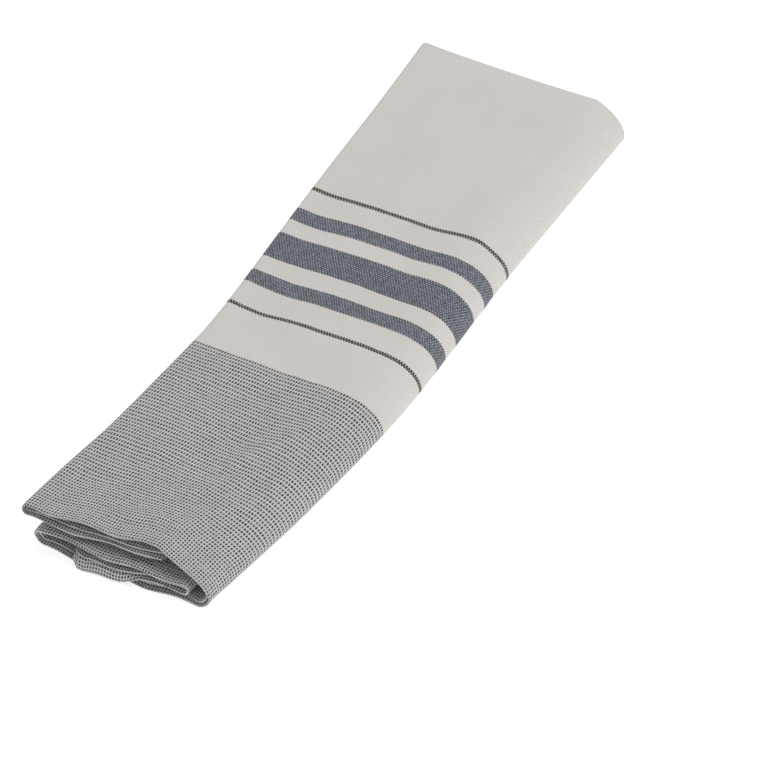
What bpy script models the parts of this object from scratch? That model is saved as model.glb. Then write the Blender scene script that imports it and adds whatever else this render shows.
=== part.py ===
"""A folded tea towel: one closed solid of cloth, in metres, +Z up, standing on z = 0.

The cloth is doubled over across its middle, which closes it at the far end (+Y) and leaves its two
hems one above the other at the near end (-Y). The doubled cloth is then folded up lengthwise, and
seen from the near end it winds like this, from one selvedge to the other:

    tucked panel (level 3) - left fold - top panel (level 4) - round right side
    - bottom panel (level 0) - left fold - middle panel (level 2) - right fold - core panel (level 1)

The sheet starts as one flat grid. Each of its points is carried along that route, and a Solidify
modifier then gives the sheet its thickness.
"""

import math

import bmesh
import bpy

# Driving dimensions

SHEET = 0.0010            # thickness of the cloth
DOUBLED_GAP = 0.0012      # air between the two layers of the doubled cloth
LENGTH = 0.3720           # the folded towel, from its near end to its far fold
NEAR_END = -0.18026       # where the near end lies along Y, which centres the towel on the origin
SIDEWAYS = 0.00056        # and how far its sections move along X for the same reason
TOP_LEVEL = 4             # the levels run from 0, the bottom panel, to 4, the top panel
INNER_RECESS = 0.0045     # the inner layer's hem stays this far behind the outer layer's
BOTTOM_FOLD_INSET = 0.065     # the lower left fold lies in from the outline, as a share of the width
INNER_FOLD_REACH = 0.900      # the inner right fold lies here, as a share of the width
ROLL_FOOT_HEIGHT = 0.0042     # the round side turns under this far above the bottom panel
ROLL_FOOT_REACH = 0.0065      # and this far in from its outermost line
ROLL_UPPER_SHARE = 0.7        # the share of the round side's steps above that line
DROOP_START = 0.0058      # the core panel droops once it comes this far forward of the near end
DROOP_RUN = 0.0060        # and comes down over this distance
DROOP_CLEARANCE = 0.0003  # to this far above what the towel lies on

HALF_DOUBLED = (SHEET + DOUBLED_GAP) / 2          # from the middle of the doubled cloth to a layer
HALF_STACK = HALF_DOUBLED + SHEET / 2             # and to the outside of that layer

# The outline from the near end to the far end: how far along the towel each section lies, where its
# left and right edges are, how high the folds stand, how wide the round side is, and where the two
# selvedges end inside, as shares of the width.
SECTIONS = (
    dict(along=0.000, left=-0.0584, right=0.0361, height=0.0226, roll=0.0275, tucked=0.76, core=0.33),
    dict(along=0.066, left=-0.0516, right=0.0465, height=0.0220, roll=0.0265, tucked=0.75, core=0.34),
    dict(along=0.132, left=-0.0444, right=0.0533, height=0.0212, roll=0.0250, tucked=0.72, core=0.36),
    dict(along=0.162, left=-0.0450, right=0.0536, height=0.0208, roll=0.0270, tucked=0.69, core=0.38),
    dict(along=0.247, left=-0.0488, right=0.0528, height=0.0202, roll=0.0300, tucked=0.63, core=0.43),
    dict(along=0.325, left=-0.0525, right=0.0557, height=0.0196, roll=0.0210, tucked=0.48, core=0.56),
    dict(along=0.372, left=-0.0550, right=0.0575, height=0.0190, roll=0.0125, tucked=0.41, core=0.63),
)

# The route across the towel. A panel lies flat at its level, a fold turns from one level to the
# next. hem is how far the outer layer's hem comes forward of the near end, and far is how far the
# far fold stays back, each at the start, in the middle and at the end of that stretch.
ROUTE = (
    dict(stretch="tucked_panel", steps=6, hem=(0.0000, 0.0020, 0.0040), far=(0.0035, 0.0020, 0.0010)),
    dict(stretch="upper_left_fold", steps=6, hem=(0.0040, 0.0042, 0.0043), far=(0.0010, 0.0005, 0.0000)),
    dict(stretch="top_panel", steps=8, hem=(0.0043, 0.0010, 0.0000), far=(0.0000, 0.0012, 0.0000)),
    dict(stretch="round_side", steps=10, hem=(0.0000, 0.0010, 0.0036), far=(0.0000, 0.0034, 0.0048)),
    dict(stretch="bottom_panel", steps=7, hem=(0.0036, 0.0032, 0.0055), far=(0.0048, 0.0036, 0.0030)),
    dict(stretch="lower_left_fold", steps=7, hem=(0.0055, 0.0062, 0.0068), far=(0.0030, 0.0028, 0.0022)),
    dict(stretch="middle_panel", steps=7, hem=(0.0068, 0.0052, 0.0072), far=(0.0022, 0.0030, 0.0050)),
    dict(stretch="inner_right_fold", steps=6, hem=(0.0072, 0.0070, 0.0062), far=(0.0050, 0.0052, 0.0050)),
    dict(stretch="core_panel", steps=6, hem=(0.0062, 0.0066, 0.0115), far=(0.0050, 0.0030, 0.0040)),
)
HEM_WAVE = 0.0005         # the hems wander by this much,
HEM_WAVE_WIDE = 0.031     # once over this distance sideways
HEM_WAVE_HIGH = 0.013     # and over this distance upwards

# Soft swells and hollows of the stack, as shares of its height: where each is deepest, and how wide
# and long it is.
SWELLS = (
    dict(share=0.085, x=-0.034, y=0.045, wide=0.016, long=0.070),
    dict(share=-0.075, x=0.003, y=0.050, wide=0.017, long=0.080),
    dict(share=0.070, x=0.028, y=0.060, wide=0.013, long=0.060),
    dict(share=0.060, x=-0.030, y=-0.090, wide=0.022, long=0.050),
    dict(share=-0.070, x=0.010, y=-0.105, wide=0.020, long=0.040),
    dict(share=0.075, x=-0.002, y=-0.163, wide=0.012, long=0.020),
    dict(share=0.050, x=0.000, y=0.140, wide=0.030, long=0.035),
)

# The lengthwise steps of one layer, as shares of its length, closer together near the hem, and the
# steps of the far fold.
LAYER_STEPS = (0.0, 0.009, 0.018, 0.030, 0.055, 0.11, 0.19, 0.28, 0.37, 0.47, 0.57, 0.68, 0.79, 0.90, 1.0)
FAR_FOLD_STEPS = 6

CLOTH_COLOUR = (0.62, 0.60, 0.56, 1.0)
CLOTH_ROUGHNESS = 0.9


def smooth_step(value):
    """0 below 0, 1 above 1, and an even rise between them."""
    value = min(max(value, 0.0), 1.0)
    return value * value * (3 - 2 * value)


def section_at(along):
    """The section's sizes at a distance from the near end, on a smooth curve through the table."""
    last = len(SECTIONS) - 1
    along = min(max(along, SECTIONS[0]["along"]), SECTIONS[last]["along"])
    low = max(i for i in range(last) if SECTIONS[i]["along"] <= along)
    span = SECTIONS[low + 1]["along"] - SECTIONS[low]["along"]
    share = (along - SECTIONS[low]["along"]) / span

    def slope(index, column):
        before, after = SECTIONS[max(index - 1, 0)], SECTIONS[min(index + 1, last)]
        return (after[column] - before[column]) / (after["along"] - before["along"])

    sizes = {}
    for column in SECTIONS[0]:
        start, end = SECTIONS[low][column], SECTIONS[low + 1][column]
        bend_in = slope(low, column) * span
        bend_out = slope(low + 1, column) * span
        sizes[column] = (start + share * bend_in
                         + share ** 2 * (3 * (end - start) - 2 * bend_in - bend_out)
                         + share ** 3 * (bend_in + bend_out - 2 * (end - start)))
    return sizes


def level_height(level, size):
    """Height of the middle of the doubled cloth at a level."""
    return HALF_STACK + level * (size["height"] - 2 * HALF_STACK) / TOP_LEVEL


def panel(share, start, end, height):
    """A point of a flat stretch, and the direction towards its outer layer."""
    outward = 1.0 if end > start else -1.0
    return start + share * (end - start), height, 0.0, outward


def turn(share, centre, low, high, side):
    """A point of a half-round fold on the left (side -1) or the right (side 1)."""
    angle = math.pi * (share - 0.5)
    across, up = side * math.cos(angle), -side * math.sin(angle)
    radius = (high - low) / 2
    return centre + radius * across, (low + high) / 2 + radius * up, across, up


def round_side(share, size, low, high):
    """A point of the round right side: a wide upper quarter and a small lower one."""
    edge = size["right"] - HALF_STACK
    foot = low + ROLL_FOOT_HEIGHT
    if share < ROLL_UPPER_SHARE:
        angle = math.pi / 2 * (1 - share / ROLL_UPPER_SHARE)
        wide, tall = size["roll"], high - foot
        middle = edge - size["roll"]
    else:
        angle = -math.pi / 2 * (share - ROLL_UPPER_SHARE) / (1 - ROLL_UPPER_SHARE)
        wide, tall = ROLL_FOOT_REACH, ROLL_FOOT_HEIGHT
        middle = edge - ROLL_FOOT_REACH
    across, up = math.cos(angle) / wide, math.sin(angle) / tall
    steepness = math.hypot(across, up)
    return (middle + wide * math.cos(angle), foot + tall * math.sin(angle),
            across / steepness, up / steepness)


def route_point(stretch, share, size):
    """A point on the middle of the doubled cloth, and the direction towards its outer layer."""
    width = size["right"] - size["left"]
    heights = [level_height(level, size) for level in range(TOP_LEVEL + 1)]
    bottom, core, middle, tucked, top = heights
    upper_left = size["left"] + HALF_STACK + (top - tucked) / 2
    lower_left = size["left"] + BOTTOM_FOLD_INSET * width + HALF_STACK + (middle - bottom) / 2
    inner_right = size["left"] + INNER_FOLD_REACH * width - HALF_STACK - (middle - core) / 2
    right = size["right"] - HALF_STACK
    if stretch == "tucked_panel":
        return panel(share, size["left"] + size["tucked"] * width, upper_left, tucked)
    if stretch == "upper_left_fold":
        return turn(share, upper_left, tucked, top, -1)
    if stretch == "top_panel":
        return panel(share, upper_left, right - size["roll"], top)
    if stretch == "round_side":
        return round_side(share, size, bottom, top)
    if stretch == "bottom_panel":
        return panel(share, right - ROLL_FOOT_REACH, lower_left, bottom)
    if stretch == "lower_left_fold":
        return turn(share, lower_left, bottom, middle, -1)
    if stretch == "middle_panel":
        return panel(share, lower_left, inner_right, middle)
    if stretch == "inner_right_fold":
        return turn(share, inner_right, core, middle, 1)
    return panel(share, inner_right, size["left"] + size["core"] * width, core)


def edge_at(row, column, share):
    """How far an edge of the cloth is moved, on a smooth curve through the row's three values."""
    start, middle, end = row[column]
    return start + share * (4 * middle - 3 * start - end) + share ** 2 * (2 * start - 4 * middle + 2 * end)


def hem_at(row, share):
    """How far the outer layer's hem comes forward, with its slight wandering."""
    x, z = route_point(row["stretch"], share, section_at(0.0))[:2]
    wave = math.sin(2 * math.pi * (x / HEM_WAVE_WIDE + z / HEM_WAVE_HIGH))
    return edge_at(row, "hem", share) + HEM_WAVE * wave


def swell(x, y):
    """By what share the stack stands higher or lower at a place."""
    return sum(row["share"] * math.exp(-((x - row["x"]) / row["wide"]) ** 2 - ((y - row["y"]) / row["long"]) ** 2)
               for row in SWELLS)


def droop(forward, size):
    """How far the core panel comes down where it hangs out past the bottom panel's hem."""
    drop = level_height(1, size) - level_height(0, size) - DROOP_CLEARANCE
    return drop * smooth_step((forward - DROOP_START) / DROOP_RUN)


def folded_point(row, share, lengthwise):
    """Where a point of the flat cloth comes to lie in the folded towel.

    row and share say where it is across the cloth. lengthwise runs from 0 at the outer layer's hem
    over 1 at the far fold's start and 2 at its end to 3 at the inner layer's hem.
    """
    hem = hem_at(row, share)
    far = LENGTH - HALF_STACK - edge_at(row, "far", share)
    if lengthwise <= 1:
        side = 1.0
        along = -hem + lengthwise * (far + hem)
    elif lengthwise < 2:
        angle = math.pi * (lengthwise - 1)
        side = math.cos(angle)
        along = far + HALF_DOUBLED * math.sin(angle)
    else:
        side = -1.0
        inner_hem = hem - INNER_RECESS
        along = -inner_hem + (3 - lengthwise) * (far + inner_hem)
    size = section_at(along)
    x, z, outward_x, outward_z = route_point(row["stretch"], share, size)
    x += outward_x * side * HALF_DOUBLED
    z += outward_z * side * HALF_DOUBLED
    y = NEAR_END + along
    if row["stretch"] == "core_panel":
        z -= droop(-along, size)
    lowest = SHEET / 2
    z = lowest + (z - lowest) * (1 + swell(x, y))
    return x + SIDEWAYS, y, z


def stations():
    """The grid's columns: the stretch of the route and the share of it for each."""
    columns = [(ROUTE[0], 0.0)]
    for row in ROUTE:
        columns += [(row, step / row["steps"]) for step in range(1, row["steps"] + 1)]
    return columns


def lengthwise_steps():
    """The grid's rows, from the outer layer's hem over the far fold to the inner layer's hem."""
    outer = list(LAYER_STEPS)
    fold = [1 + step / FAR_FOLD_STEPS for step in range(1, FAR_FOLD_STEPS)]
    inner = [3 - share for share in reversed(LAYER_STEPS)]
    return outer + fold + inner


def make_material():
    """Plain woven cotton, in the mean of its colours."""
    material = bpy.data.materials.new("woven_cotton")
    material.use_nodes = True
    shader = material.node_tree.nodes["Principled BSDF"]
    shader.inputs["Base Color"].default_value = CLOTH_COLOUR
    shader.inputs["Roughness"].default_value = CLOTH_ROUGHNESS
    return material


def make_towel(collection):
    """The flat grid, folded, with its thickness."""
    columns, rows = stations(), lengthwise_steps()
    mesh = bpy.data.meshes.new("tea_towel")
    grid = bmesh.new()
    bmesh.ops.create_grid(grid, x_segments=len(columns) - 1, y_segments=len(rows) - 1, size=1.0)
    for vertex in grid.verts:
        column = round((vertex.co.x + 1) / 2 * (len(columns) - 1))
        row = round((vertex.co.y + 1) / 2 * (len(rows) - 1))
        stretch, share = columns[column]
        vertex.co = folded_point(stretch, share, rows[row])
    grid.to_mesh(mesh)
    grid.free()
    mesh.shade_smooth()
    towel = bpy.data.objects.new("tea_towel", mesh)
    collection.objects.link(towel)
    towel.data.materials.append(make_material())
    thickness = towel.modifiers.new("thickness", "SOLIDIFY")
    thickness.thickness = SHEET
    thickness.offset = 0.0
    thickness.use_even_offset = False
    return towel


def main():
    for leftover in list(bpy.data.objects):
        bpy.data.objects.remove(leftover)
    collection = bpy.data.collections.new("folded_tea_towel")
    bpy.context.scene.collection.children.link(collection)
    make_towel(collection)


main()
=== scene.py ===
# %% [markdown]
# A folded tea towel
#
# The object is one piece of woven cotton, 0.40 m by 0.75 m, doubled over across its middle and then
# folded up lengthwise. It lies on a table with its two hems at the near end, its far fold at the other
# end, a sharp fold along its left side and a soft round one along its right side. This lesson starts
# from the frame that the towel has to fit. It makes the folded shape, then the cloth's thickness and
# hems, the stitches, the weave and a plain studio, and it ends by joining the looks to the frame.

# %% The frame that the towel has to fit
import math
from collections import namedtuple

import bpy
import numpy as np
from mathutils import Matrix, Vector


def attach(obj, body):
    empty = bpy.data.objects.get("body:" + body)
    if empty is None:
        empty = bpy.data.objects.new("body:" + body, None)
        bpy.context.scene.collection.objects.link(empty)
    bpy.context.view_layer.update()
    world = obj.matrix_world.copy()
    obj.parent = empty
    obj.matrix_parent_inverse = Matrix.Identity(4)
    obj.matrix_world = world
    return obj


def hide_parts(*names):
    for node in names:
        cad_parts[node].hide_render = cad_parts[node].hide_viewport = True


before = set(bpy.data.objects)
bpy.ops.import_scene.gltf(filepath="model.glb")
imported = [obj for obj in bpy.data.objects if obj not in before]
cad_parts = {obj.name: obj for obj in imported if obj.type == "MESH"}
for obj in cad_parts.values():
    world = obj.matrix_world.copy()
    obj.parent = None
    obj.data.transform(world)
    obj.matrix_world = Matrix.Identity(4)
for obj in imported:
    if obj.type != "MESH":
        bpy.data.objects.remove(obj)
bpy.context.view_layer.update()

# %% [markdown]
# The folded shape
#
# A sheet of paper can be described by two distances, one across it and one along it. Folding only says
# where each of those places goes. So the towel is a rule: it takes a place on the flat cloth and gives
# the point where that place lies in the folded stack. A modeller could also fold a grid by hand or let
# a cloth simulation settle it, but a rule keeps the cloth's own size, and it keeps every layer apart
# from its neighbours. Seen from the near end, the doubled cloth winds like this:
#
# tucked panel, upper left fold, top panel, round right side, bottom panel, lower left fold, middle
# panel, inner right fold, core panel.

# %% Sizes of the cloth and of the stack, in metres
SHEET = 0.0009            # thickness of the cloth
DOUBLED_GAP = 0.0010      # air between the two layers of the doubled cloth
LENGTH = 0.3720           # the folded towel, from its near end to its far fold
NEAR_END = -0.18026       # where the near end lies along Y
SIDEWAYS = 0.00056        # how far the sections are moved along X
TOP_LEVEL = 4             # the levels run from 0, the bottom panel, to 4, the top panel

HALF_DOUBLED = (SHEET + DOUBLED_GAP) / 2      # from the middle of the doubled cloth to a layer
HALF_STACK = HALF_DOUBLED + SHEET / 2         # and to the outside of that layer

# Each section across the towel: its distance from the near end, its left and right edge, its height,
# how wide the round side is and how straight it slopes (1 is a quarter of an ellipse, 2 nearly a
# straight line), where the two selvedges end inside, as shares of the width, by how many levels the
# middle panel comes down to its right end, and how far the lower half of the upper left and of the
# lower left fold is pressed up.
COLUMNS = ("along", "left", "right", "height", "roll", "slope", "tucked", "core", "fall", "pinch", "lift")
SECTIONS = (
    (0.000, -0.0588, 0.0363, 0.0228, 0.0262, 1.60, 0.730, 0.29, 0.45, 0.0018, 0.0010),
    (0.030, -0.0552, 0.0412, 0.0226, 0.0250, 1.40, 0.730, 0.31, 0.38, 0.0016, 0.0010),
    (0.066, -0.0505, 0.0465, 0.0220, 0.0230, 1.20, 0.730, 0.34, 0.30, 0.0014, 0.0010),
    (0.132, -0.0464, 0.0533, 0.0208, 0.0180, 1.00, 0.720, 0.36, 0.10, 0.0012, 0.0010),
    (0.162, -0.0468, 0.0545, 0.0205, 0.0175, 0.95, 0.690, 0.38, 0.05, 0.0012, 0.0010),
    (0.247, -0.0509, 0.0540, 0.0202, 0.0180, 0.95, 0.630, 0.43, 0.00, 0.0010, 0.0010),
    (0.325, -0.0530, 0.0560, 0.0196, 0.0165, 1.00, 0.480, 0.56, 0.00, 0.0008, 0.0008),
    (0.372, -0.0553, 0.0575, 0.0190, 0.0165, 1.20, 0.410, 0.63, 0.00, 0.0006, 0.0006),
)

# The route across the cloth: the name of each stretch, the steps it takes, how far the outer layer's
# hem comes forward of the near end, and how far the far fold stays back, each of these two at the
# start, in the middle and at the end of the stretch.
Stretch = namedtuple("Stretch", ("name", "steps", "hem", "far"))
ROUTE = (
    Stretch("tucked_panel", 20, (-0.0004, 0.0022, 0.0042), (0.0035, 0.0020, 0.0010)),
    Stretch("upper_left_fold", 12, (0.0042, 0.0040, 0.0036), (0.0010, 0.0005, 0.0000)),
    Stretch("top_panel", 48, (0.0036, 0.0018, -0.0004), (0.0000, 0.0012, 0.0000)),
    Stretch("round_side", 28, (-0.0004, 0.0024, 0.0036), (0.0000, 0.0034, 0.0048)),
    Stretch("bottom_panel", 20, (0.0036, 0.0044, 0.0036), (0.0048, 0.0036, 0.0030)),
    Stretch("lower_left_fold", 14, (0.0036, 0.0042, 0.0052), (0.0030, 0.0028, 0.0022)),
    Stretch("middle_panel", 22, (0.0052, 0.0060, 0.0040), (0.0022, 0.0030, 0.0050)),
    Stretch("inner_right_fold", 12, (0.0040, 0.0032, 0.0030), (0.0050, 0.0052, 0.0050)),
    Stretch("core_panel", 18, (0.0030, 0.0060, 0.0104), (0.0050, 0.0030, 0.0040)),
)
TOP_PANEL = next(row for row in ROUTE if row.name == "top_panel")
print("the route has", len(ROUTE), "stretches, and the outline", len(SECTIONS), "sections")


# %% The towel's section at any distance from its near end
def smooth_step(value):
    """0 below 0, 1 above 1, and an even rise between them."""
    value = min(max(value, 0.0), 1.0)
    return value * value * (3 - 2 * value)


def section_at(along):
    """The section's sizes at a distance from the near end, on a smooth curve through the table."""
    last = len(SECTIONS) - 1
    along = min(max(along, SECTIONS[0][0]), SECTIONS[last][0])
    low = max(i for i in range(last) if SECTIONS[i][0] <= along)
    span = SECTIONS[low + 1][0] - SECTIONS[low][0]
    share = (along - SECTIONS[low][0]) / span

    def slope(index, column):
        before, after = SECTIONS[max(index - 1, 0)], SECTIONS[min(index + 1, last)]
        return (after[column] - before[column]) / (after[0] - before[0])

    sizes = {}
    for column, name in enumerate(COLUMNS):
        start, end = SECTIONS[low][column], SECTIONS[low + 1][column]
        bend_in = slope(low, column) * span
        bend_out = slope(low + 1, column) * span
        sizes[name] = (start + share * bend_in
                       + share ** 2 * (3 * (end - start) - 2 * bend_in - bend_out)
                       + share ** 3 * (bend_in + bend_out - 2 * (end - start)))
    return sizes


print("width at the near end and at the far fold:",
      [round(section_at(along)["right"] - section_at(along)["left"], 4) for along in (0, LENGTH)])


# %% The stretches that the cloth goes through
BOTTOM_FOLD_INSET = 0.065     # the lower left fold lies in from the outline, as a share of the width
INNER_FOLD_REACH = 0.895      # the inner right fold lies here, as a share of the width
ROLL_FOOT_HEIGHT = 0.0042     # the round side turns under this far above the bottom panel
ROLL_FOOT_REACH = 0.0065      # and this far in from its outermost line
ROLL_UPPER_SHARE = 0.7        # the share of the round side above that line
FOLD_REACH = 0.016        # a panel bends up towards a pinched fold over this distance


def level_height(level, size):
    """Height of the middle of the doubled cloth at a level."""
    return HALF_STACK + level * (size["height"] - 2 * HALF_STACK) / TOP_LEVEL


def panel(share, start, end, height, fall=0.0, lift=0.0):
    """A point of a flat stretch, and its outward direction, which is towards the outer layer.

    It comes down by fall on the way, and goes up by lift just before it reaches its end.
    """
    outward = 1.0 if end > start else -1.0
    x = start + share * (end - start)
    rise = lift * smooth_step(1 - abs(end - x) / FOLD_REACH)
    return x, height - fall * smooth_step(share) + rise, 0.0, outward


def turn(share, centre, low, high, side):
    """A point and its outward direction in a half-round fold on the left (-1) or the right (1)."""
    angle = math.pi * (share - 0.5)
    across, up = side * math.cos(angle), -side * math.sin(angle)
    radius = (high - low) / 2
    return centre + radius * across, (low + high) / 2 + radius * up, across, up


def round_side(share, size, low, high):
    """A point and its outward direction on the round side: a wide upper quarter and a small lower one."""
    edge = size["right"] - HALF_STACK
    foot = low + ROLL_FOOT_HEIGHT
    if share < ROLL_UPPER_SHARE:
        angle = math.pi / 2 * share / ROLL_UPPER_SHARE
        wide, tall, slope = size["roll"], high - foot, size["slope"]
        side = 1
    else:
        angle = math.pi / 2 * (1 - share) / (1 - ROLL_UPPER_SHARE)
        wide, tall, slope = ROLL_FOOT_REACH, ROLL_FOOT_HEIGHT, 1.0
        side = -1
    lower_slope = (1 + slope) / 2
    across, up = math.sin(angle), math.cos(angle)
    outward_x = across ** (2 - slope) * tall * lower_slope
    outward_z = side * up ** (2 - lower_slope) * wide * slope
    steepness = math.hypot(outward_x, outward_z)
    return (edge - wide + wide * across ** slope, foot + side * tall * up ** lower_slope,
            outward_x / steepness, outward_z / steepness)


def route_point(stretch, share, size):
    """A point on the middle of the doubled cloth, and its outward direction."""
    left, width = size["left"], size["right"] - size["left"]
    bottom, core, middle, tucked, top = (level_height(level, size) for level in range(TOP_LEVEL + 1))
    fall = size["fall"] * (middle - core)
    upper_low, lower_low = tucked + size["pinch"], bottom + size["lift"]
    inner_high, inner_low = middle - fall, core - fall / 2
    upper_left = left + HALF_STACK + (top - upper_low) / 2
    lower_left = left + BOTTOM_FOLD_INSET * width + HALF_STACK + (middle - lower_low) / 2
    inner_right = left + INNER_FOLD_REACH * width - HALF_STACK - (inner_high - inner_low) / 2
    right = size["right"] - HALF_STACK
    if stretch == "tucked_panel":
        return panel(share, left + size["tucked"] * width, upper_left, tucked, lift=size["pinch"])
    if stretch == "upper_left_fold":
        return turn(share, upper_left, upper_low, top, -1)
    if stretch == "top_panel":
        return panel(share, upper_left, right - size["roll"], top)
    if stretch == "round_side":
        return round_side(share, size, bottom, top)
    if stretch == "bottom_panel":
        return panel(share, right - ROLL_FOOT_REACH, lower_left, bottom, lift=size["lift"])
    if stretch == "lower_left_fold":
        return turn(share, lower_left, lower_low, middle, -1)
    if stretch == "middle_panel":
        return panel(share, lower_left, inner_right, middle, fall=fall)
    if stretch == "inner_right_fold":
        return turn(share, inner_right, inner_low, inner_high, 1)
    return panel(share, inner_right, left + size["core"] * width, inner_low, fall=-fall / 2)


print("the top panel lies", round(route_point("top_panel", 0, section_at(0))[1], 4), "m up at the near end")

# %% [markdown]
# Swells, hollows and creases
#
# A towel that was folded by hand is never flat. Broad swells lift whole parts of the stack: each row
# of their table gives a swell's middle, how far it reaches sideways and lengthwise, and the share by
# which it lifts or lowers. Narrow creases stay where the cloth lay over an edge: each row gives where a
# crease runs from and to, how wide it is and by how much it lifts the top. The layers below are lifted
# by less, in step with their height, so no layer ever cuts through another.

# %% Where the stack stands higher or lower
SWELLS = (                # share, x and y of the middle, reach sideways and lengthwise
    (-0.110, -0.040, 0.060, 0.018, 0.080),
    (-0.095, -0.025, -0.018, 0.016, 0.027),
    (0.120, 0.034, 0.064, 0.014, 0.055),
    (0.085, 0.024, -0.056, 0.018, 0.032),
    (0.060, -0.030, -0.090, 0.022, 0.050),
    (-0.070, 0.010, -0.105, 0.020, 0.040),
    (-0.080, 0.022, -0.138, 0.012, 0.024),
    (0.075, -0.002, -0.163, 0.012, 0.020),
    (0.050, 0.000, 0.140, 0.030, 0.035),
)
CREASES = (               # start, end, width and lift
    ((-0.022, -0.172), (0.014, -0.160), 0.0040, 0.0013),
    ((-0.048, -0.158), (-0.022, -0.150), 0.0045, -0.0010),
    ((-0.046, -0.120), (-0.018, -0.128), 0.0050, 0.0008),
    ((0.004, -0.142), (0.022, -0.118), 0.0045, 0.0009),
    ((0.008, -0.120), (0.031, -0.078), 0.0050, 0.0013),
    ((0.020, -0.132), (0.040, -0.092), 0.0040, -0.0008),
    ((-0.034, -0.086), (0.004, -0.070), 0.0060, -0.0008),
    ((-0.010, -0.096), (0.012, -0.104), 0.0040, -0.0006),
    ((-0.032, -0.062), (-0.006, -0.056), 0.0045, 0.0006),
    ((-0.040, -0.020), (0.030, 0.012), 0.0070, -0.0006),
    ((-0.030, 0.020), (0.012, 0.034), 0.0060, 0.0006),
    ((0.026, 0.086), (0.046, 0.060), 0.0035, 0.0007),
    ((0.030, 0.128), (0.052, 0.150), 0.0045, -0.0009),
    ((0.022, 0.150), (0.044, 0.180), 0.0050, 0.0007),
    ((-0.020, 0.100), (0.030, 0.166), 0.0090, 0.0009),
    ((-0.042, 0.150), (-0.008, 0.176), 0.0060, -0.0007),
)
CREASE_FADE = 0.25        # a crease fades in and out over this share of its length


def crease(x, y):
    """How far the creases lift the top of the stack at a place."""
    lifted = 0.0
    for (x0, y0), (x1, y1), wide, lift in CREASES:
        length = math.hypot(x1 - x0, y1 - y0)
        ahead = ((x - x0) * (x1 - x0) + (y - y0) * (y1 - y0)) / length
        aside = ((x - x0) * (y1 - y0) - (y - y0) * (x1 - x0)) / length
        fade_in = smooth_step(ahead / length / CREASE_FADE + 0.5)
        fade_out = smooth_step((length - ahead) / length / CREASE_FADE + 0.5)
        lifted += lift * (fade_in * fade_out) * math.exp(-(aside / wide) ** 2)
    return lifted


def swell(x, y):
    """By what share the stack stands higher or lower at a place."""
    broad = 0.0
    for share, middle_x, middle_y, wide, long in SWELLS:
        broad += share * math.exp(-((x - middle_x) / wide) ** 2 - ((y - middle_y) / long) ** 2)
    return broad + crease(x, y) / section_at(0.0)["height"]


print("the stack is lifted at its middle by a share of", round(swell(0, 0), 3))


# %% Where a place on the flat cloth comes to lie
HEM_WAVE = 0.0008         # the hems wander by this much,
HEM_WAVE_WIDE = 0.031     # once over this distance sideways
HEM_WAVE_HIGH = 0.013     # and over this distance upwards
CORNER_TURN = 0.0047      # the core panel's free corner is turned back by this much
CORNER_REACH = 0.0060     # over this distance from its selvedge
INNER_RECESS = 0.0018     # the inner layer's hem stays this far behind the outer layer's,
INNER_WANDER = 0.0007     # more or less this much,
INNER_WANDER_WIDE = 0.047 # once over this distance sideways
DROOP_START = 0.0048      # the core panel droops once it comes this far forward of the near end
DROOP_RUN = 0.0034        # and comes down over this distance
DROOP_LAG = 0.0012        # the inner layer, which lies on the outer one, droops this much later
DROOP_CLEARANCE = 0.0003  # to this far above what the towel lies on


def edge_at(values, share):
    """How far an edge of the cloth is moved, on a smooth curve through a stretch's three values."""
    start, middle, end = values
    return start + share * (4 * middle - 3 * start - end) + share ** 2 * (2 * start - 4 * middle + 2 * end)


def hems_at(row, share):
    """How far the outer and the inner layer's hems come forward, wandering and with a turned corner."""
    x, z = route_point(row.name, share, section_at(0.0))[:2]
    wave = math.sin(2 * math.pi * (x / HEM_WAVE_WIDE + z / HEM_WAVE_HIGH))
    forward = edge_at(row.hem, share) + HEM_WAVE * wave
    if row.name == "core_panel":
        from_selvedge = x - route_point("core_panel", 1.0, section_at(0.0))[0]
        forward -= CORNER_TURN * max(1 - from_selvedge / CORNER_REACH, 0) ** 2
    return forward, forward - INNER_RECESS - INNER_WANDER * math.sin(2 * math.pi * x / INNER_WANDER_WIDE)


def droop(forward, size):
    """How far the core panel comes down where it hangs out past the bottom panel's hem."""
    drop = level_height(1, size) - level_height(0, size) - DROOP_CLEARANCE
    return drop * smooth_step((forward - DROOP_START) / DROOP_RUN)


def folded_point(row, share, lengthwise):
    """Where a point of the flat cloth comes to lie.

    row and share say where it is across the cloth. lengthwise runs from 0 at the outer layer's hem
    over 1 at the far fold's start and 2 at its end to 3 at the inner layer's hem.
    """
    hem, inner_hem = hems_at(row, share)
    far = LENGTH - HALF_STACK - edge_at(row.far, share)
    if lengthwise <= 1:
        side = 1.0
        along = -hem + lengthwise * (far + hem)
    elif lengthwise < 2:
        angle = math.pi * (lengthwise - 1)
        side = math.cos(angle)
        along = far + HALF_DOUBLED * math.sin(angle)
    else:
        side = -1.0
        along = -inner_hem + (3 - lengthwise) * (far + inner_hem)
    size = section_at(along)
    x, z, outward_x, outward_z = route_point(row.name, share, size)
    x += outward_x * side * HALF_DOUBLED
    z += outward_z * side * HALF_DOUBLED
    y = NEAR_END + along
    if row.name == "core_panel":
        z -= droop(-along - DROOP_LAG * (1 - side) / 2, size)
    lowest = SHEET / 2
    z = lowest + (z - lowest) * (1 + swell(x, y))
    return x + SIDEWAYS, y, z


print("the middle of the top panel's hem lies at", [round(v, 4) for v in folded_point(TOP_PANEL, 0.5, 0)])

# %% [markdown]
# From the rule to a mesh
#
# The flat cloth becomes a grid, closer together at its hems and in its folds, where it bends most. Every
# point of the grid is carried to its place by the rule above. The grid keeps each point's flat place
# too, in metres from a selvedge and from a hem, as a UV map: the weave is drawn on that, so it follows
# every fold the way real yarn does.

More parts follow.
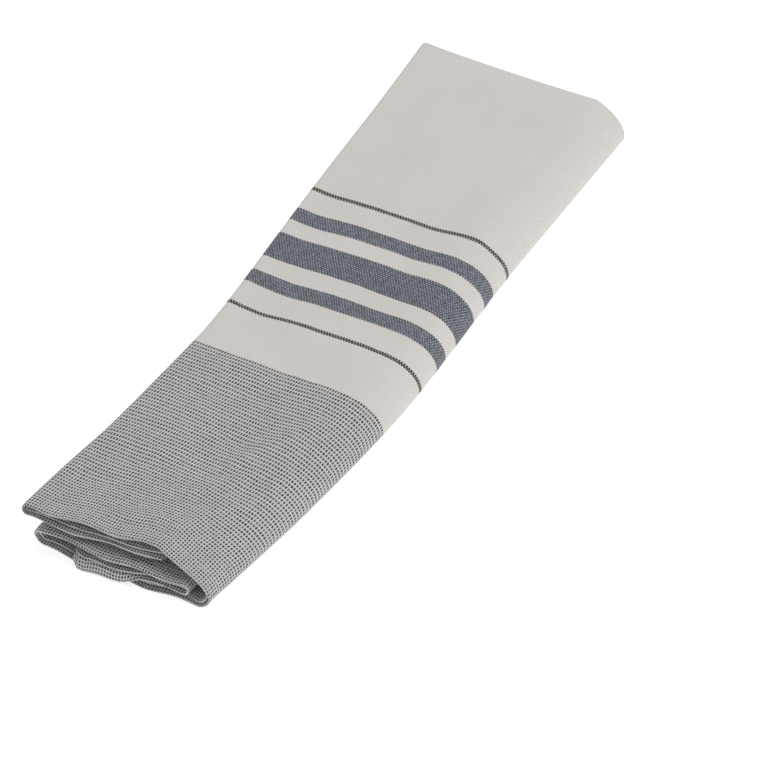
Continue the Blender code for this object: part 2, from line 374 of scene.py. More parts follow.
# %% The grid of the flat cloth
HEM_ROWS = (0, 0.00005, 0.0002, 0.00045, 0.0008, 0.0014, 0.0022, 0.0032, 0.0044, 0.0056,
            0.0066, 0.0073, 0.0080, 0.0085, 0.0091, 0.0104, 0.0128)     # distances from a hem
ROW_STEP = 0.0040         # between the rows away from the hems
SELVEDGE_SHARES = (0.0007, 0.0025, 0.0060, 0.0150)    # extra columns along a selvedge
FAR_FOLD_STEPS = 10


def grid_columns():
    """The stretch of the route and the share of it for each column of the grid."""
    columns = [(ROUTE[0], share) for share in (0.0, *SELVEDGE_SHARES)]
    for row in ROUTE:
        columns += [(row, step / row.steps) for step in range(1, row.steps + 1)]
    end = columns.pop()
    columns += [(ROUTE[-1], 1 - share) for share in reversed(SELVEDGE_SHARES)]
    return columns + [end]


def grid_rows():
    """The lengthwise place of each row of the grid."""
    rest = round((LENGTH - HEM_ROWS[-1]) / ROW_STEP)
    outer = [row / LENGTH for row in HEM_ROWS]
    outer += [outer[-1] + (1 - outer[-1]) * step / rest for step in range(1, rest + 1)]
    fold = [1 + step / FAR_FOLD_STEPS for step in range(1, FAR_FOLD_STEPS)]
    return outer + fold + [3 - row for row in reversed(outer)]


columns, rows = grid_columns(), grid_rows()
middle_grid = np.array([[folded_point(row, share, place) for row, share in columns] for place in rows])
print("the grid has", len(rows), "rows and", len(columns), "columns")


# %% The cloth's own measures at each point of the grid
def distances(points, axis):
    """Distance travelled over the grid along one of its directions, from its first line."""
    steps = np.linalg.norm(np.diff(points, axis=axis), axis=2)
    start = np.zeros_like(np.take(steps, [0], axis=axis))
    return np.concatenate([start, np.cumsum(steps, axis=axis)], axis=axis)


across_cloth = distances(middle_grid, 1)
along_cloth = distances(middle_grid, 0)
print("measured on the folded cloth, its width and its length:",
      [round(float(np.median(edge)), 4) for edge in (across_cloth[:, -1], along_cloth[-1])])

# %% [markdown]
# Thickness, hems and rounded edges
#
# A sheet with no thickness looks like paper. The Solidify modifier would give it one thickness all
# over, but a hem is two turns of cloth sewn flat, so it stands thicker, and a cut edge is never square.
# So each point of the grid gets its own two depths, one to each side. They shrink to nothing at the
# very edge along a quarter of a circle, which closes the rim and makes it round.

# %% Thickness at each place
HEM_DEPTH = 0.0080        # how far the turned hem reaches into the cloth
HEM_EXTRA = 0.00025       # how much thicker the cloth is there, on its inside
HEM_END = 0.0010          # the turned hem thins out over this distance
STITCH_LINE = 0.0073      # the seam runs this far from the hem
SEAM_SINK = 0.00012       # and draws the cloth in by this much
SEAM_WIDE = 0.0009        # over this distance to each side
PUCKER = 0.00010          # the hem puckers by this much between its stitches
PUCKER_STEP = 0.0062      # at this spacing


def ramp(values, start, end):
    """0 up to the start, 1 from the end on, and a smooth rise between them."""
    share = np.clip((values - start) / (end - start), 0, 1)
    return share * share * (3 - 2 * share)


def rim(distance, depth):
    """How much of its thickness the cloth has at a distance from its edge, for a round rim."""
    return np.sqrt(1 - (1 - np.clip(distance / depth, 0, 1)) ** 2)


edge_across = np.minimum(across_cloth, across_cloth[:, -1:] - across_cloth)
edge_along = np.minimum(along_cloth, along_cloth[-1:] - along_cloth)
in_hem = 1 - ramp(edge_along, HEM_DEPTH, HEM_DEPTH + HEM_END)
in_seam = np.exp(-((edge_along - STITCH_LINE) / SEAM_WIDE) ** 2)
pucker = in_hem * PUCKER * np.sin(2 * math.pi * across_cloth / PUCKER_STEP)
roundness = np.minimum(rim(edge_across, SHEET / 2), rim(edge_along, (SHEET + HEM_EXTRA) / 2))
face_depth = roundness * (SHEET / 2 - in_seam * SEAM_SINK + pucker)
back_depth = roundness * (SHEET / 2 + in_hem * HEM_EXTRA)
print("the hem is", round(float((face_depth + back_depth).max()) * 1000, 2), "mm thick")


# %% Both sides of the cloth as one closed mesh
def add_object(name, points, faces):
    """A mesh object at the origin, with its place in its points."""
    mesh = bpy.data.meshes.new(name)
    mesh.from_pydata(points, [], faces)
    piece = bpy.data.objects.new(name, mesh)
    bpy.context.scene.collection.objects.link(piece)
    return piece


row_count, column_count = middle_grid.shape[:2]
normals = np.cross(np.gradient(middle_grid, axis=1), np.gradient(middle_grid, axis=0))
outward = normals / np.linalg.norm(normals, axis=2, keepdims=True)     # out of the face side
face_side = middle_grid + outward * face_depth[:, :, None]
back_side = middle_grid - outward * back_depth[:, :, None]
face_side[:, :, 2] = np.maximum(face_side[:, :, 2], 0)
back_side[:, :, 2] = np.maximum(back_side[:, :, 2], 0)
face_number = np.arange(row_count * column_count).reshape(row_count, column_count)
inside = (row_count - 2, column_count - 2)
back_number = face_number.copy()
back_number[1:-1, 1:-1] = face_number.size + np.arange(math.prod(inside)).reshape(inside)
points = np.concatenate([face_side.reshape(-1, 3), back_side[1:-1, 1:-1].reshape(-1, 3)])


def corners(grid):
    """What a grid holds at the four corners of each of its faces, going round the face."""
    return np.stack([grid[:-1, :-1], grid[:-1, 1:], grid[1:, 1:], grid[1:, :-1]], axis=-1).reshape(-1, 4)


faces = np.concatenate([corners(face_number), corners(back_number)[:, ::-1]])
towel = add_object("tea_towel_cloth", points.tolist(), faces.tolist())
towel.data.shade_smooth()
print("the towel has", 2 * len(faces), "triangles")

# %% [markdown]
# Where the weave is drawn
#
# Yarn follows the cloth, not the room. So the material reads a UV map that gives, in metres, how far a
# place is from one selvedge and from one hem. The hems don't lie exactly one above the other, but
# further in the layers do line up again, so the distance from a hem is eased over the first part.
# A second map is for baking the colours to an image later: it gives most of the image to the top.

# %% The flat place of each point
HALF_LENGTH = 0.3730      # from a hem to the middle of the far fold, along the cloth
EASE = 0.060              # over this distance from the near end the layers line up again
from_near_end = middle_grid[:, :, 1] - NEAR_END
middle_row = len(rows) // 2
fold_rows = range(rows.index(1.0), len(rows) - rows.index(1.0))


def eased_distance(walked, reached):
    """Distances from a hem, shifted further in so that they match the distances from the near end."""
    ahead = [np.interp(EASE, reached[:, column], walked[:, column]) - EASE
             for column in range(column_count)]
    return walked - np.array(ahead) * ramp(reached, 0, EASE)


top_middle = [row.name for row, share in columns].index("top_panel") + TOP_PANEL.steps // 2
flat_u = across_cloth - across_cloth[:, [top_middle]] + np.median(across_cloth[:, top_middle])
outer = eased_distance(along_cloth[:middle_row + 1], from_near_end[:middle_row + 1])
walked_back = (along_cloth[-1] - along_cloth)[middle_row:][::-1]
inner = eased_distance(walked_back, from_near_end[middle_row:][::-1])
flat_v = np.concatenate([outer[:-1], 2 * HALF_LENGTH - inner[::-1]])
fold_share = ((np.array(fold_rows) - fold_rows[0]) / (len(fold_rows) - 1))[:, None]
flat_v[fold_rows] = flat_v[fold_rows[0]] * (1 - fold_share) + flat_v[fold_rows[-1]] * fold_share
print("flat places reach, across and along:", [round(float(flat.max()), 4) for flat in (flat_u, flat_v)])


# %% The two UV maps
BAKE_TOP_SHARE = 0.70     # the share of the baked image's width for what shows
BAKE_MARGIN = 0.004       # left free around each part of the baked image
SHOWN = ("upper_left_fold", "top_panel", "round_side")
SHOWN_WEIGHT = 4.0        # those stretches get this many times the width of the others
HIDDEN_STRIPS = 3         # the rest of the image is shared by this many strips, for what is hidden


def add_uv_map(piece, name, places):
    """Give a mesh a UV map from one place for each corner of its faces."""
    layer = piece.data.uv_layers.new(name=name)
    layer.data.foreach_set("uv", np.ascontiguousarray(places, dtype=np.float32).ravel())


def bake_places(corner_rows, corner_columns, back):
    """Where each corner lies on the image that the colours may be baked to."""
    weights = np.array([SHOWN_WEIGHT if row.name in SHOWN else 1.0 for row, share in columns[1:]])
    steps = np.diff(np.median(across_cloth, axis=0)) * weights
    over = np.concatenate([[0], np.cumsum(steps)]) / steps.sum()
    inner_layer = corner_rows.min(axis=1) >= middle_row
    along = np.abs(corner_rows - middle_row) / middle_row
    top = BAKE_TOP_SHARE
    high = 1 - 2 * BAKE_MARGIN
    left = over[corner_columns] * (top - 2 * BAKE_MARGIN) + BAKE_MARGIN
    up = along * high + BAKE_MARGIN
    strip = np.where(inner_layer, 0, 1) + (1 if back else 0)
    small_left = top + along * (1 - top - 2 * BAKE_MARGIN) + BAKE_MARGIN
    small_up = (strip[:, None] + over[corner_columns]) / HIDDEN_STRIPS * high + BAKE_MARGIN
    shown = ~inner_layer[:, None] & (not back)
    return np.stack([np.where(shown, left, small_left), np.where(shown, up, small_up)], axis=-1)


corner_rows, corner_columns = (corners(numbers) for numbers in np.indices((row_count, column_count)))
flat_places = np.stack([corners(flat_u), corners(flat_v)], axis=-1)
add_uv_map(towel, "weave", np.concatenate([flat_places, flat_places[:, ::-1]]))
face_places = bake_places(corner_rows, corner_columns, False)
back_places = bake_places(corner_rows, corner_columns, True)
add_uv_map(towel, "OFBake", np.concatenate([face_places, back_places[:, ::-1]]))
towel.data.uv_layers["weave"].active_render = True
print("UV maps:", [layer.name for layer in towel.data.uv_layers])

# %% [markdown]
# The hem's stitches
#
# A hem is sewn down with a straight row of short stitches. They are all alike and follow a line on the
# cloth, so Geometry Nodes make them: the line becomes a curve, the curve is divided at the stitch's
# spacing, and one small thread lies at each division, turned along the curve. Stitches could be drawn
# in the material instead, but then they would not catch the light at the near end, where they show
# from the side.

# %% Helpers for nodes, colours and materials
def add_node(tree, kind, settings=None, inputs=None):
    """Add a node. An input takes a value, another node's output, or a node for its first output in use."""
    node = tree.nodes.new(kind)
    for name, value in (settings or {}).items():
        setattr(node, name, value)
    for name, value in (inputs or {}).items():
        if isinstance(value, bpy.types.Node):
            value = next(output for output in value.outputs if output.enabled)
        if isinstance(value, bpy.types.NodeSocket):
            tree.links.new(value, node.inputs[name])
        else:
            node.inputs[name].default_value = value
    return node


def linear_colour(hex_code):
    """An sRGB colour such as #ffffff as the linear values that Blender's nodes take."""
    channels = [int(hex_code[place:place + 2], 16) / 255 for place in (1, 3, 5)]
    return tuple(c / 12.92 if c <= 0.04045 else ((c + 0.055) / 1.055) ** 2.4 for c in channels) + (1.0,)


def new_material(name, finish):
    """A material with the given constant settings on its shader's own sockets."""
    material = bpy.data.materials.new(name)
    material.use_nodes = True
    for socket, value in finish.items():
        material.node_tree.nodes["Principled BSDF"].inputs[socket].default_value = value
    return material


print("mid grey, #808080, is", [round(c, 3) for c in linear_colour("#808080")], "in linear values")

# %% Sewing thread
THREAD_RADIUS = 0.00016   # spun polyester thread, half of 0.32 mm
STITCH_LENGTH = 0.0021    # what shows of one stitch
STITCH_SPACING = 0.0027   # from one stitch to the next
STITCH_SIDES = 6          # a stitch is small, so few faces are enough
THREAD_GLINT_SCALE = 1600.0     # painted highlights and shade where the thread's twist catches the light, so many flecks in a metre
THREAD_SHADE = "#b9b6b1"
THREAD_LIGHT = "#dcd9d4"
THREAD_FINISH = {"Roughness": 0.55, "Sheen Weight": 0.1}


def make_thread_material():
    """Spun polyester sewing thread: smooth and a little shinier than the cloth, so it stands out finely."""
    material = new_material("spun_polyester_thread", THREAD_FINISH)
    tree = material.node_tree
    coordinates = add_node(tree, "ShaderNodeTexCoord")
    # painted highlights and shade: noise mixes the thread's shaded and lit colours in flecks
    painted_glints = add_node(tree, "ShaderNodeTexNoise",
                     inputs={"Vector": coordinates.outputs["Object"], "Scale": THREAD_GLINT_SCALE})
    colour = add_node(tree, "ShaderNodeMix", {"data_type": "RGBA"},
                      {"Factor": painted_glints, "A": linear_colour(THREAD_SHADE), "B": linear_colour(THREAD_LIGHT)})
    tree.links.new(colour.outputs["Result"], tree.nodes["Principled BSDF"].inputs["Base Color"])
    return material


thread = make_thread_material()
print("the thread is", round(THREAD_RADIUS * 2 * 1000, 2), "mm thick")


# %% A node tree that lays stitches along a line
def make_stitch_tree():
    """Geometry Nodes: lay one short thread at each step along the edges of a mesh line."""
    tree = bpy.data.node_groups.new("stitches_along_line", "GeometryNodeTree")
    for name, kind in (("Geometry", "Geometry"), ("Spacing", "Float"), ("Length", "Float"),
                       ("Radius", "Float"), ("Thread", "Material")):
        tree.interface.new_socket(name, in_out="INPUT", socket_type="NodeSocket" + kind)
    tree.interface.new_socket("Geometry", in_out="OUTPUT", socket_type="NodeSocketGeometry")
    given = add_node(tree, "NodeGroupInput").outputs
    line = add_node(tree, "GeometryNodeMeshToCurve", inputs={"Mesh": given["Geometry"]})
    steps = add_node(tree, "GeometryNodeResampleCurve", {"mode": "LENGTH"},
                     {"Curve": line, "Length": given["Spacing"]})
    tangent = add_node(tree, "GeometryNodeInputTangent")
    turned = add_node(tree, "FunctionNodeAlignRotationToVector", {"axis": "Z"}, {"Vector": tangent})
    size = add_node(tree, "ShaderNodeCombineXYZ",
                    inputs={"X": given["Radius"], "Y": given["Radius"], "Z": given["Length"]})
    shape = add_node(tree, "GeometryNodeMeshUVSphere",
                     inputs={"Segments": STITCH_SIDES, "Rings": STITCH_SIDES, "Radius": 1.0})
    stitches = add_node(tree, "GeometryNodeInstanceOnPoints",
                        inputs={"Points": steps, "Instance": shape, "Rotation": turned, "Scale": size})
    solid = add_node(tree, "GeometryNodeRealizeInstances", inputs={"Geometry": stitches})
    smooth = add_node(tree, "GeometryNodeSetShadeSmooth", inputs={"Geometry": solid})
    coloured = add_node(tree, "GeometryNodeSetMaterial",
                        inputs={"Geometry": smooth, "Material": given["Thread"]})
    add_node(tree, "NodeGroupOutput", inputs={"Geometry": coloured})
    return tree


stitch_tree = make_stitch_tree()
print("the stitch tree has", len(stitch_tree.nodes), "nodes")


# %% The stitches on both hems
def apply_tree(piece, tree, values):
    """Run a Geometry Nodes tree on a piece and return its result as a plain mesh."""
    modifier = piece.modifiers.new("nodes", "NODES")
    modifier.node_group = tree
    for item in tree.interface.items_tree:
        if item.in_out == "INPUT" and item.name in values:
            modifier[item.identifier] = values[item.name]
    graph = bpy.context.evaluated_depsgraph_get()
    mesh = bpy.data.meshes.new_from_object(piece.evaluated_get(graph))
    piece.modifiers.remove(modifier)
    return mesh


def make_stitches():
    """Rows of stitches along the seam line of both hems, half sunk in the cloth."""
    seam_row = HEM_ROWS.index(STITCH_LINE)
    lines = np.concatenate([face_side[seam_row], face_side[-1 - seam_row]])
    lines[:, 2] = np.maximum(lines[:, 2], THREAD_RADIUS)
    guide = add_object("hem_stitches", lines.tolist(), [])
    guide.data.edges.add(len(lines) - 2)
    starts = [n for n in range(len(lines) - 1) if n != column_count - 1]
    guide.data.edges.foreach_set("vertices", [end for n in starts for end in (n, n + 1)])
    sizes = {"Spacing": STITCH_SPACING, "Length": STITCH_LENGTH / 2,
             "Radius": THREAD_RADIUS, "Thread": thread}
    guide.data = apply_tree(guide, stitch_tree, sizes)
    guide.data.name = "hem_stitches"
    return guide


stitches = make_stitches()
print("the stitches have", len(stitches.data.polygons), "faces")

# %% [markdown]
# The weave
#
# The real towel is a plain weave: each pick, a yarn across the cloth, goes over one warp yarn and under
# the next, and the pick after it does the opposite. Where a pick comes to the top it shows as a short
# fat oval, and between the ovals a little of the cream warp shows. All the pattern comes from the
# colour of the picks. Near the hems every other pick is dark, which gives rows of dots, and further in
# come three slate blue bands between two thin brown lines. An image could carry all this, but the
# rule is so short that nodes can compute it from the flat place: the number of the pick gives the
# colour, and the numbers of pick and warp yarn give the oval. The bump comes from the same oval.

# %% Sizes and colours of the yarns
WARP_PITCH = 0.000725     # from one warp yarn to the next
PICK_PITCH = 0.0011512    # from one pick to the next
CLOSER_PICKS = 12         # near a hem the picks lie closer, and this many more fit in
CLOSER_REACH = 0.080      # over this distance
CUT_PICK = 0.5            # the hem is turned in the middle of a pick
BULGE = 0.20              # a pick bulges by this share of its width where it lies on top
DARK_WIDER = 0.10         # the dark yarn is thicker, so it takes this share more at each side
WARP_SHOWS_WIDE = 0.00044     # a warp yarn shows as a spot this wide between two floats of a pick
WARP_SHOWS_LONG = 0.00100     # and this long
SOFT_EDGE = 1.9           # how sharply a spot of warp ends
FLOAT_ENDS_FALL = 5.0     # how steeply a pick's float falls away to its two ends
FLOAT_SIDES_FALL = 2.6    # and to its two sides
SPOT_HEIGHT = 0.8         # how high a spot of warp stands beside a float of height 1
SPOT_FALL = 0.5           # and how far it falls away to its rim
CHECK_PICKS = (1, 123)    # the first and last of the dark picks, which are every other one
LIGHT_YARN = "#d1cfcf"
CREAM_YARN = "#dad6d1"
LINE_YARN = "#574c46"
BLUE_YARN = "#616671"
DEEP_BLUE_YARN = "#5d626d"
# Each band of picks: its first pick, its yarn and how much of the warp shows there, which is less where
# coloured picks are beaten up closer. The first band serves all the picks before it too.
WEFT_BANDS = (
    (112, LIGHT_YARN, 1.0),
    (124, CREAM_YARN, 1.0),
    (152, LINE_YARN, 0.55),
    (154, CREAM_YARN, 1.0),
    (167, BLUE_YARN, 0.50),
    (175, CREAM_YARN, 1.0),
    (184, DEEP_BLUE_YARN, 0.50),
    (200, CREAM_YARN, 1.0),
    (209, BLUE_YARN, 0.50),
    (217, CREAM_YARN, 1.0),
    (229, LINE_YARN, 0.55),
    (231, CREAM_YARN, 1.0),
)
BAND_SPAN = 128           # a colour ramp holds 256 places, so each of these picks gets two of them
WARP_COLOUR = "#e6e2de"
DARK_YARN = "#27262a"
DARK_FALL = 0.24          # how much paler a dark float is at its fuzzy ends and sides
RIM_WIDE = 0.0010         # painted shade greys the rim of a hem, where it is turned, over this distance,
RIM_PAINTED_SHADE = 0.32           # by up to this share of the dark yarn's colour
DARK_LEAST = 0.78         # a dark float takes between this share of that yarn's colour and all of it
SPECKLE = (0.35, 1.65)    # a coloured float is darker or paler than its yarn by up to these factors
YARN_DRIFT = (0.0012, 0.0022, 0)      # warp and picks wander by up to half of this,
YARN_DRIFT_SCALE = 45.0               # so many times in a metre
NOISE_RANGE = (0.25, 0.75)            # nearly all values of a noise lie between these
SLUB_SCALE = (60.0, 900.0, 1.0)       # thick and thin places of the picks, in a metre each way,
SLUB_RANGE = (0.72, 1.35)             # and how they open or close the spots of warp
BLOTCH_SCALE = 34.0                   # faint blotches, in a metre,
BLOTCH_RANGE = (0.95, 1.05)           # and how they darken or lighten the cloth
BUMP_DEPTH = 0.00008                  # from the top of a float down to a height of 0
COTTON_FINISH = {"Roughness": 0.9, "Specular IOR Level": 0.25, "Sheen Weight": 0.12, "Sheen Roughness": 0.5}
print("a pick is", round(PICK_PITCH * 1000, 3), "mm wide, and",
      round(HALF_LENGTH / PICK_PITCH + CLOSER_PICKS), "of them lie in each half")


# %% Which yarn lies on top, as a table of sums
WEAVE_SUMS = (            # name, operation and what it works on: names of earlier rows, or numbers
    # how many picks and warp yarns a place is away from the nearer hem and from the selvedge
    ("other_hem", "SUBTRACT", 2 * HALF_LENGTH, "along"),
    ("from_hem", "MINIMUM", "along", "other_hem"),
    ("before_reach", "MULTIPLY_ADD", "from_hem", -1 / CLOSER_REACH, 1.0),
    ("remaining", "MAXIMUM", "before_reach", 0.0),
    ("remaining_cube", "POWER", "remaining", 3.0),
    ("closer", "MULTIPLY_ADD", "remaining_cube", -CLOSER_PICKS, CLOSER_PICKS + CUT_PICK),
    ("picks", "MULTIPLY_ADD", "from_hem", 1 / PICK_PITCH, "closer"),
    ("ends", "DIVIDE", "across", WARP_PITCH),
    # the pick's number: the border between two picks bulges where one of them lies on top
    ("border", "ROUND", "picks"),
    ("border_odd", "MODULO", "border", 2.0),
    ("border_side", "MULTIPLY_ADD", "border_odd", 2.0, -1.0),
    ("end_angle", "MULTIPLY", "ends", math.pi),
    ("end_wave", "COSINE", "end_angle"),
    ("border_wave", "MULTIPLY", "end_wave", "border_side"),
    ("past_border", "SUBTRACT", "picks", "border"),
    ("dark_wider", "MULTIPLY", "border_side", -DARK_WIDER),
    ("border_shift", "MULTIPLY_ADD", "border_wave", BULGE, "dark_wider"),
    ("before_border", "LESS_THAN", "past_border", "border_shift"),
    ("pick", "SUBTRACT", "border", "before_border"),
    ("odd", "FLOORED_MODULO", "pick", 2.0),
    ("pick_start", "SUBTRACT", "picks", "pick"),
    ("in_pick", "SUBTRACT", "pick_start", 0.5),
    # the pick's floats, where it lies on top, and the spots of warp between them
    ("float_ends", "SUBTRACT", "ends", "odd"),
    ("float_pairs", "DIVIDE", "float_ends", 2.0),
    ("float", "ROUND", "float_pairs"),
    ("float_aside", "SUBTRACT", "float_pairs", "float"),
    ("spot_pairs", "SUBTRACT", "float_pairs", 0.5),
    ("spot", "ROUND", "spot_pairs"),
    ("spot_aside", "SUBTRACT", "spot_pairs", "spot"),
    ("spot_wide", "MULTIPLY", "spot_aside", 4 * WARP_PITCH / WARP_SHOWS_WIDE),
    ("spot_long", "MULTIPLY", "in_pick", 2 * PICK_PITCH / WARP_SHOWS_LONG),
    ("spot_wide_square", "POWER", "spot_wide", 2.0),
    ("spot_long_square", "POWER", "spot_long", 2.0),
    ("spot_oval", "ADD", "spot_wide_square", "spot_long_square"),
    ("uneven_oval", "MULTIPLY", "spot_oval", "unevenness"),
    ("spot_edge", "MULTIPLY_ADD", "uneven_oval", -SOFT_EDGE, SOFT_EDGE + 0.5),
    ("spot_low", "MAXIMUM", "spot_edge", 0.0),
    ("warp_shows", "MINIMUM", "spot_low", 1.0),
    # the place on the colour ramp, the height for the bump, and how dark the place is, from the dark yarn
    # and from painted shade at the hems' turned rims
    ("after_first", "GREATER_THAN", "pick", CHECK_PICKS[0] - 0.5),
    ("before_last", "LESS_THAN", "pick", CHECK_PICKS[1] + 0.5),
    ("in_checks", "MULTIPLY", "after_first", "before_last"),
    ("band", "MULTIPLY_ADD", "pick", 1 / BAND_SPAN, (0.5 - WEFT_BANDS[0][0]) / BAND_SPAN),
    ("float_wide_square", "POWER", "float_aside", 2.0),
    ("float_long_square", "POWER", "in_pick", 2.0),
    ("float_round", "MULTIPLY_ADD", "float_wide_square", -FLOAT_ENDS_FALL, 1.0),
    ("float_height", "MULTIPLY_ADD", "float_long_square", -FLOAT_SIDES_FALL, "float_round"),
    ("spot_height", "MULTIPLY_ADD", "spot_oval", -SPOT_FALL, SPOT_HEIGHT),
    ("height", "MAXIMUM", "float_height", "spot_height"),
    ("dark_pick", "MULTIPLY", "in_checks", "odd"),
    ("dark_middle", "MULTIPLY_ADD", "float_height", DARK_FALL, 1.0 - DARK_FALL),
    ("dark_float", "MULTIPLY", "dark_pick", "dark_middle"),
    # painted shade: the turned rim of each hem is greyed towards the dark yarn's colour
    ("rim_painted_shade", "MULTIPLY_ADD", "from_hem", -RIM_PAINTED_SHADE / RIM_WIDE, RIM_PAINTED_SHADE),
    ("dark", "MAXIMUM", "dark_float", "rim_painted_shade"),
)


def add_sums(tree, values, sums):
    """Add a Math node for each row of a table of sums, and keep it under its name in values."""
    for name, operation, *terms in sums:
        inputs = {place: values.get(term, term) for place, term in enumerate(terms)}
        values[name] = add_node(tree, "ShaderNodeMath", {"operation": operation, "label": name}, inputs)


print("the weave takes", len(WEAVE_SUMS), "sums")


# %% Uneven yarns before the sums, and colours after them
def yarn_places(tree, place):
    """What the sums start from: a place that wanders a little, and how thick a pick is there."""
    drift = add_node(tree, "ShaderNodeTexNoise",
                     inputs={"Vector": place, "Scale": YARN_DRIFT_SCALE, "Detail": 3.0})
    centred = add_node(tree, "ShaderNodeVectorMath", {"operation": "SUBTRACT"},
                       {0: drift.outputs["Color"], 1: (0.5, 0.5, 0.5)})
    drifted = add_node(tree, "ShaderNodeVectorMath", {"operation": "MULTIPLY_ADD"},
                       {0: centred, 1: YARN_DRIFT, 2: place})
    parts = add_node(tree, "ShaderNodeSeparateXYZ", inputs={"Vector": drifted})
    along_picks = add_node(tree, "ShaderNodeMapping", inputs={"Vector": place, "Scale": SLUB_SCALE})
    slub = add_node(tree, "ShaderNodeTexNoise", inputs={"Vector": along_picks, "Scale": 1.0, "Detail": 2.0})
    uneven = add_node(tree, "ShaderNodeMapRange",
                      inputs={"Value": slub, "From Min": NOISE_RANGE[0], "From Max": NOISE_RANGE[1],
                              "To Min": SLUB_RANGE[0], "To Max": SLUB_RANGE[1]})
    return {"across": parts.outputs["X"], "along": parts.outputs["Y"], "unevenness": uneven}


def weft_bands(tree, band):
    """The colour of each band of picks, with the share of the warp that shows there as its alpha."""
    bands = add_node(tree, "ShaderNodeValToRGB", inputs={"Fac": band})
    bands.color_ramp.interpolation = "CONSTANT"
    stops = bands.color_ramp.elements
    while len(stops) < len(WEFT_BANDS):
        stops.new(1.0)
    for stop, (first_pick, colour, warp_share) in zip(stops, WEFT_BANDS):
        stop.position = (first_pick - WEFT_BANDS[0][0]) / BAND_SPAN
        stop.color = (*linear_colour(colour)[:3], warp_share)
    return bands


def float_colours(tree, values, bands):
    """The picks' colours: speckled where they are coloured, dark in the rows of dots, and greyed by painted
    shade at the hems' turned rims.
    """
    cell = add_node(tree, "ShaderNodeCombineXYZ", inputs={"X": values["float"], "Y": values["pick"]})
    chance = add_node(tree, "ShaderNodeTexWhiteNoise", {"noise_dimensions": "2D"}, {"Vector": cell})
    speckle = add_node(tree, "ShaderNodeMapRange",
                       inputs={"Value": chance, "To Min": SPECKLE[0], "To Max": SPECKLE[1]})
    coloured = add_node(tree, "ShaderNodeMath", {"operation": "SUBTRACT"},
                        {0: 1.0, 1: bands.outputs["Alpha"]})
    speckled = add_node(tree, "ShaderNodeMix", {"data_type": "RGBA", "blend_type": "MULTIPLY"},
                        {"Factor": coloured, "A": bands, "B": speckle})
    dark_share = add_node(tree, "ShaderNodeMapRange", inputs={"Value": chance, "To Min": DARK_LEAST})
    # the darkness holds the dark yarn's dots and the painted shade at the hems' rims
    darkness = add_node(tree, "ShaderNodeMath", {"operation": "MULTIPLY"},
                        {0: values["dark"], 1: dark_share})
    return add_node(tree, "ShaderNodeMix", {"data_type": "RGBA"},
                    {"Factor": darkness, "A": speckled, "B": linear_colour(DARK_YARN)})


# %% Cotton cloth
def make_cotton():
    """Woven cotton, soft and matt: its loose fibres scatter light, so it has sheen and hardly any gloss."""
    material = new_material("woven_cotton", COTTON_FINISH)
    tree = material.node_tree
    place = add_node(tree, "ShaderNodeUVMap", {"uv_map": "weave"}).outputs["UV"]
    values = yarn_places(tree, place)
    add_sums(tree, values, WEAVE_SUMS)
    bands = weft_bands(tree, values["band"])
    weft = float_colours(tree, values, bands)
    warp = add_node(tree, "ShaderNodeMath", {"operation": "MULTIPLY"},
                    {0: values["warp_shows"], 1: bands.outputs["Alpha"]})
    woven = add_node(tree, "ShaderNodeMix", {"data_type": "RGBA"},
                     {"Factor": warp, "A": weft, "B": linear_colour(WARP_COLOUR)})
    blotch = add_node(tree, "ShaderNodeTexNoise",
                      inputs={"Vector": place, "Scale": BLOTCH_SCALE, "Detail": 3.0})
    tone = add_node(tree, "ShaderNodeMapRange",
                    inputs={"Value": blotch, "To Min": BLOTCH_RANGE[0], "To Max": BLOTCH_RANGE[1]})
    toned = add_node(tree, "ShaderNodeMix", {"data_type": "RGBA", "blend_type": "MULTIPLY"},
                     {"Factor": 1.0, "A": woven, "B": tone})
    bump = add_node(tree, "ShaderNodeBump",
                    inputs={"Height": values["height"], "Distance": BUMP_DEPTH, "Strength": 1.0})
    shader = tree.nodes["Principled BSDF"]
    tree.links.new(toned.outputs["Result"], shader.inputs["Base Color"])
    tree.links.new(bump.outputs["Normal"], shader.inputs["Normal"])
    return material


cotton = make_cotton()
towel.data.materials.append(cotton)
print("the cotton's material has", len(cotton.node_tree.nodes), "nodes")

# %% [markdown]
# The studio
#
# A towel for sale is photographed on a white table under large soft lamps, so that its layers show and
# no shadow is hard. A big area lamp above one side and a bright surrounding world do the same here.
# The floor gives off a little light of its own, because a white table reads white only when it is lit
# more than the cloth on it.

# %% Floor, lamp and surroundings
FLOOR_SIZE = 8.0
WHITE = linear_colour("#ffffff")
FLOOR_FINISH = {"Base Color": linear_colour("#e2e2e2"), "Roughness": 0.9, "Specular IOR Level": 0.1,
                "Emission Color": WHITE, "Emission Strength": 0.65}
LAMP_PLACE = Vector((0.5, 0.35, 1.9))     # above the right side, and aimed at the middle of the towel
LAMP_SIZE = 1.4
LAMP_POWER = 17.4
SURROUNDING_LIGHT = 0.48


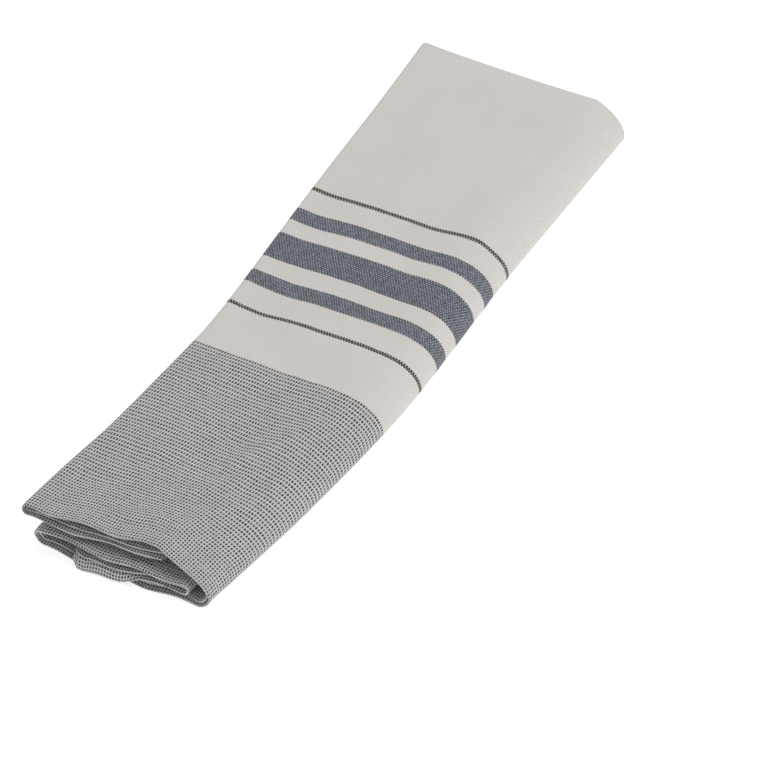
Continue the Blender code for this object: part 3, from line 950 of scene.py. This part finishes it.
def make_floor():
    """A plain matt white tabletop that runs well past the picture."""
    half = FLOOR_SIZE / 2
    outline = [(-half, -half, 0), (half, -half, 0), (half, half, 0), (-half, half, 0)]
    floor = add_object("floor", outline, [(0, 1, 2, 3)])
    floor.data.materials.append(new_material("matt_white_table", FLOOR_FINISH))


def add_holder(name, data, place, direction):
    """An object that holds a lamp or a camera at a place and points it in a direction."""
    holder = bpy.data.objects.new(name, data)
    holder.location = place
    holder.rotation_euler = direction.to_track_quat("-Z", "Y").to_euler()
    bpy.context.scene.collection.objects.link(holder)
    return holder


make_floor()
lamp = bpy.data.lights.new("key_lamp", "AREA")
lamp.shape = "SQUARE"
lamp.size = LAMP_SIZE
lamp.energy = LAMP_POWER
add_holder("key_lamp", lamp, LAMP_PLACE, -LAMP_PLACE)
world = bpy.data.worlds.new("studio")
bpy.context.scene.world = world
world.use_nodes = True
background = world.node_tree.nodes["Background"]
background.inputs["Color"].default_value = WHITE
background.inputs["Strength"].default_value = SURROUNDING_LIGHT
bpy.context.scene.view_settings.view_transform = "Standard"
print("the floor and", len(bpy.data.lights), "lamp are set")

# %% The camera
ELEVATION = math.radians(42.5)    # how far it looks down
AZIMUTH = math.radians(28.0)      # how far it stands round from the near end
DISTANCE = 2.60
AIM = Vector((0.03536, -0.01726, 0.0))
FILM = 36.0                       # width of the film, in millimetres
LENS = 265.7                      # length of the lens, in millimetres

level = math.cos(ELEVATION)
forward = Vector((-math.sin(AZIMUTH) * level, math.cos(AZIMUTH) * level, -math.sin(ELEVATION)))
camera_data = bpy.data.cameras.new("camera")
camera_data.sensor_width = FILM
camera_data.lens = LENS
camera = add_holder("camera", camera_data, AIM - forward * DISTANCE, forward)
bpy.context.scene.camera = camera
print("the camera stands at", [round(v, 3) for v in camera.location])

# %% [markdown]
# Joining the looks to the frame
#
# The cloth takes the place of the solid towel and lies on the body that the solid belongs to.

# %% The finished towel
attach(towel, "root")
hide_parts("tea_towel")
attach(stitches, "root")
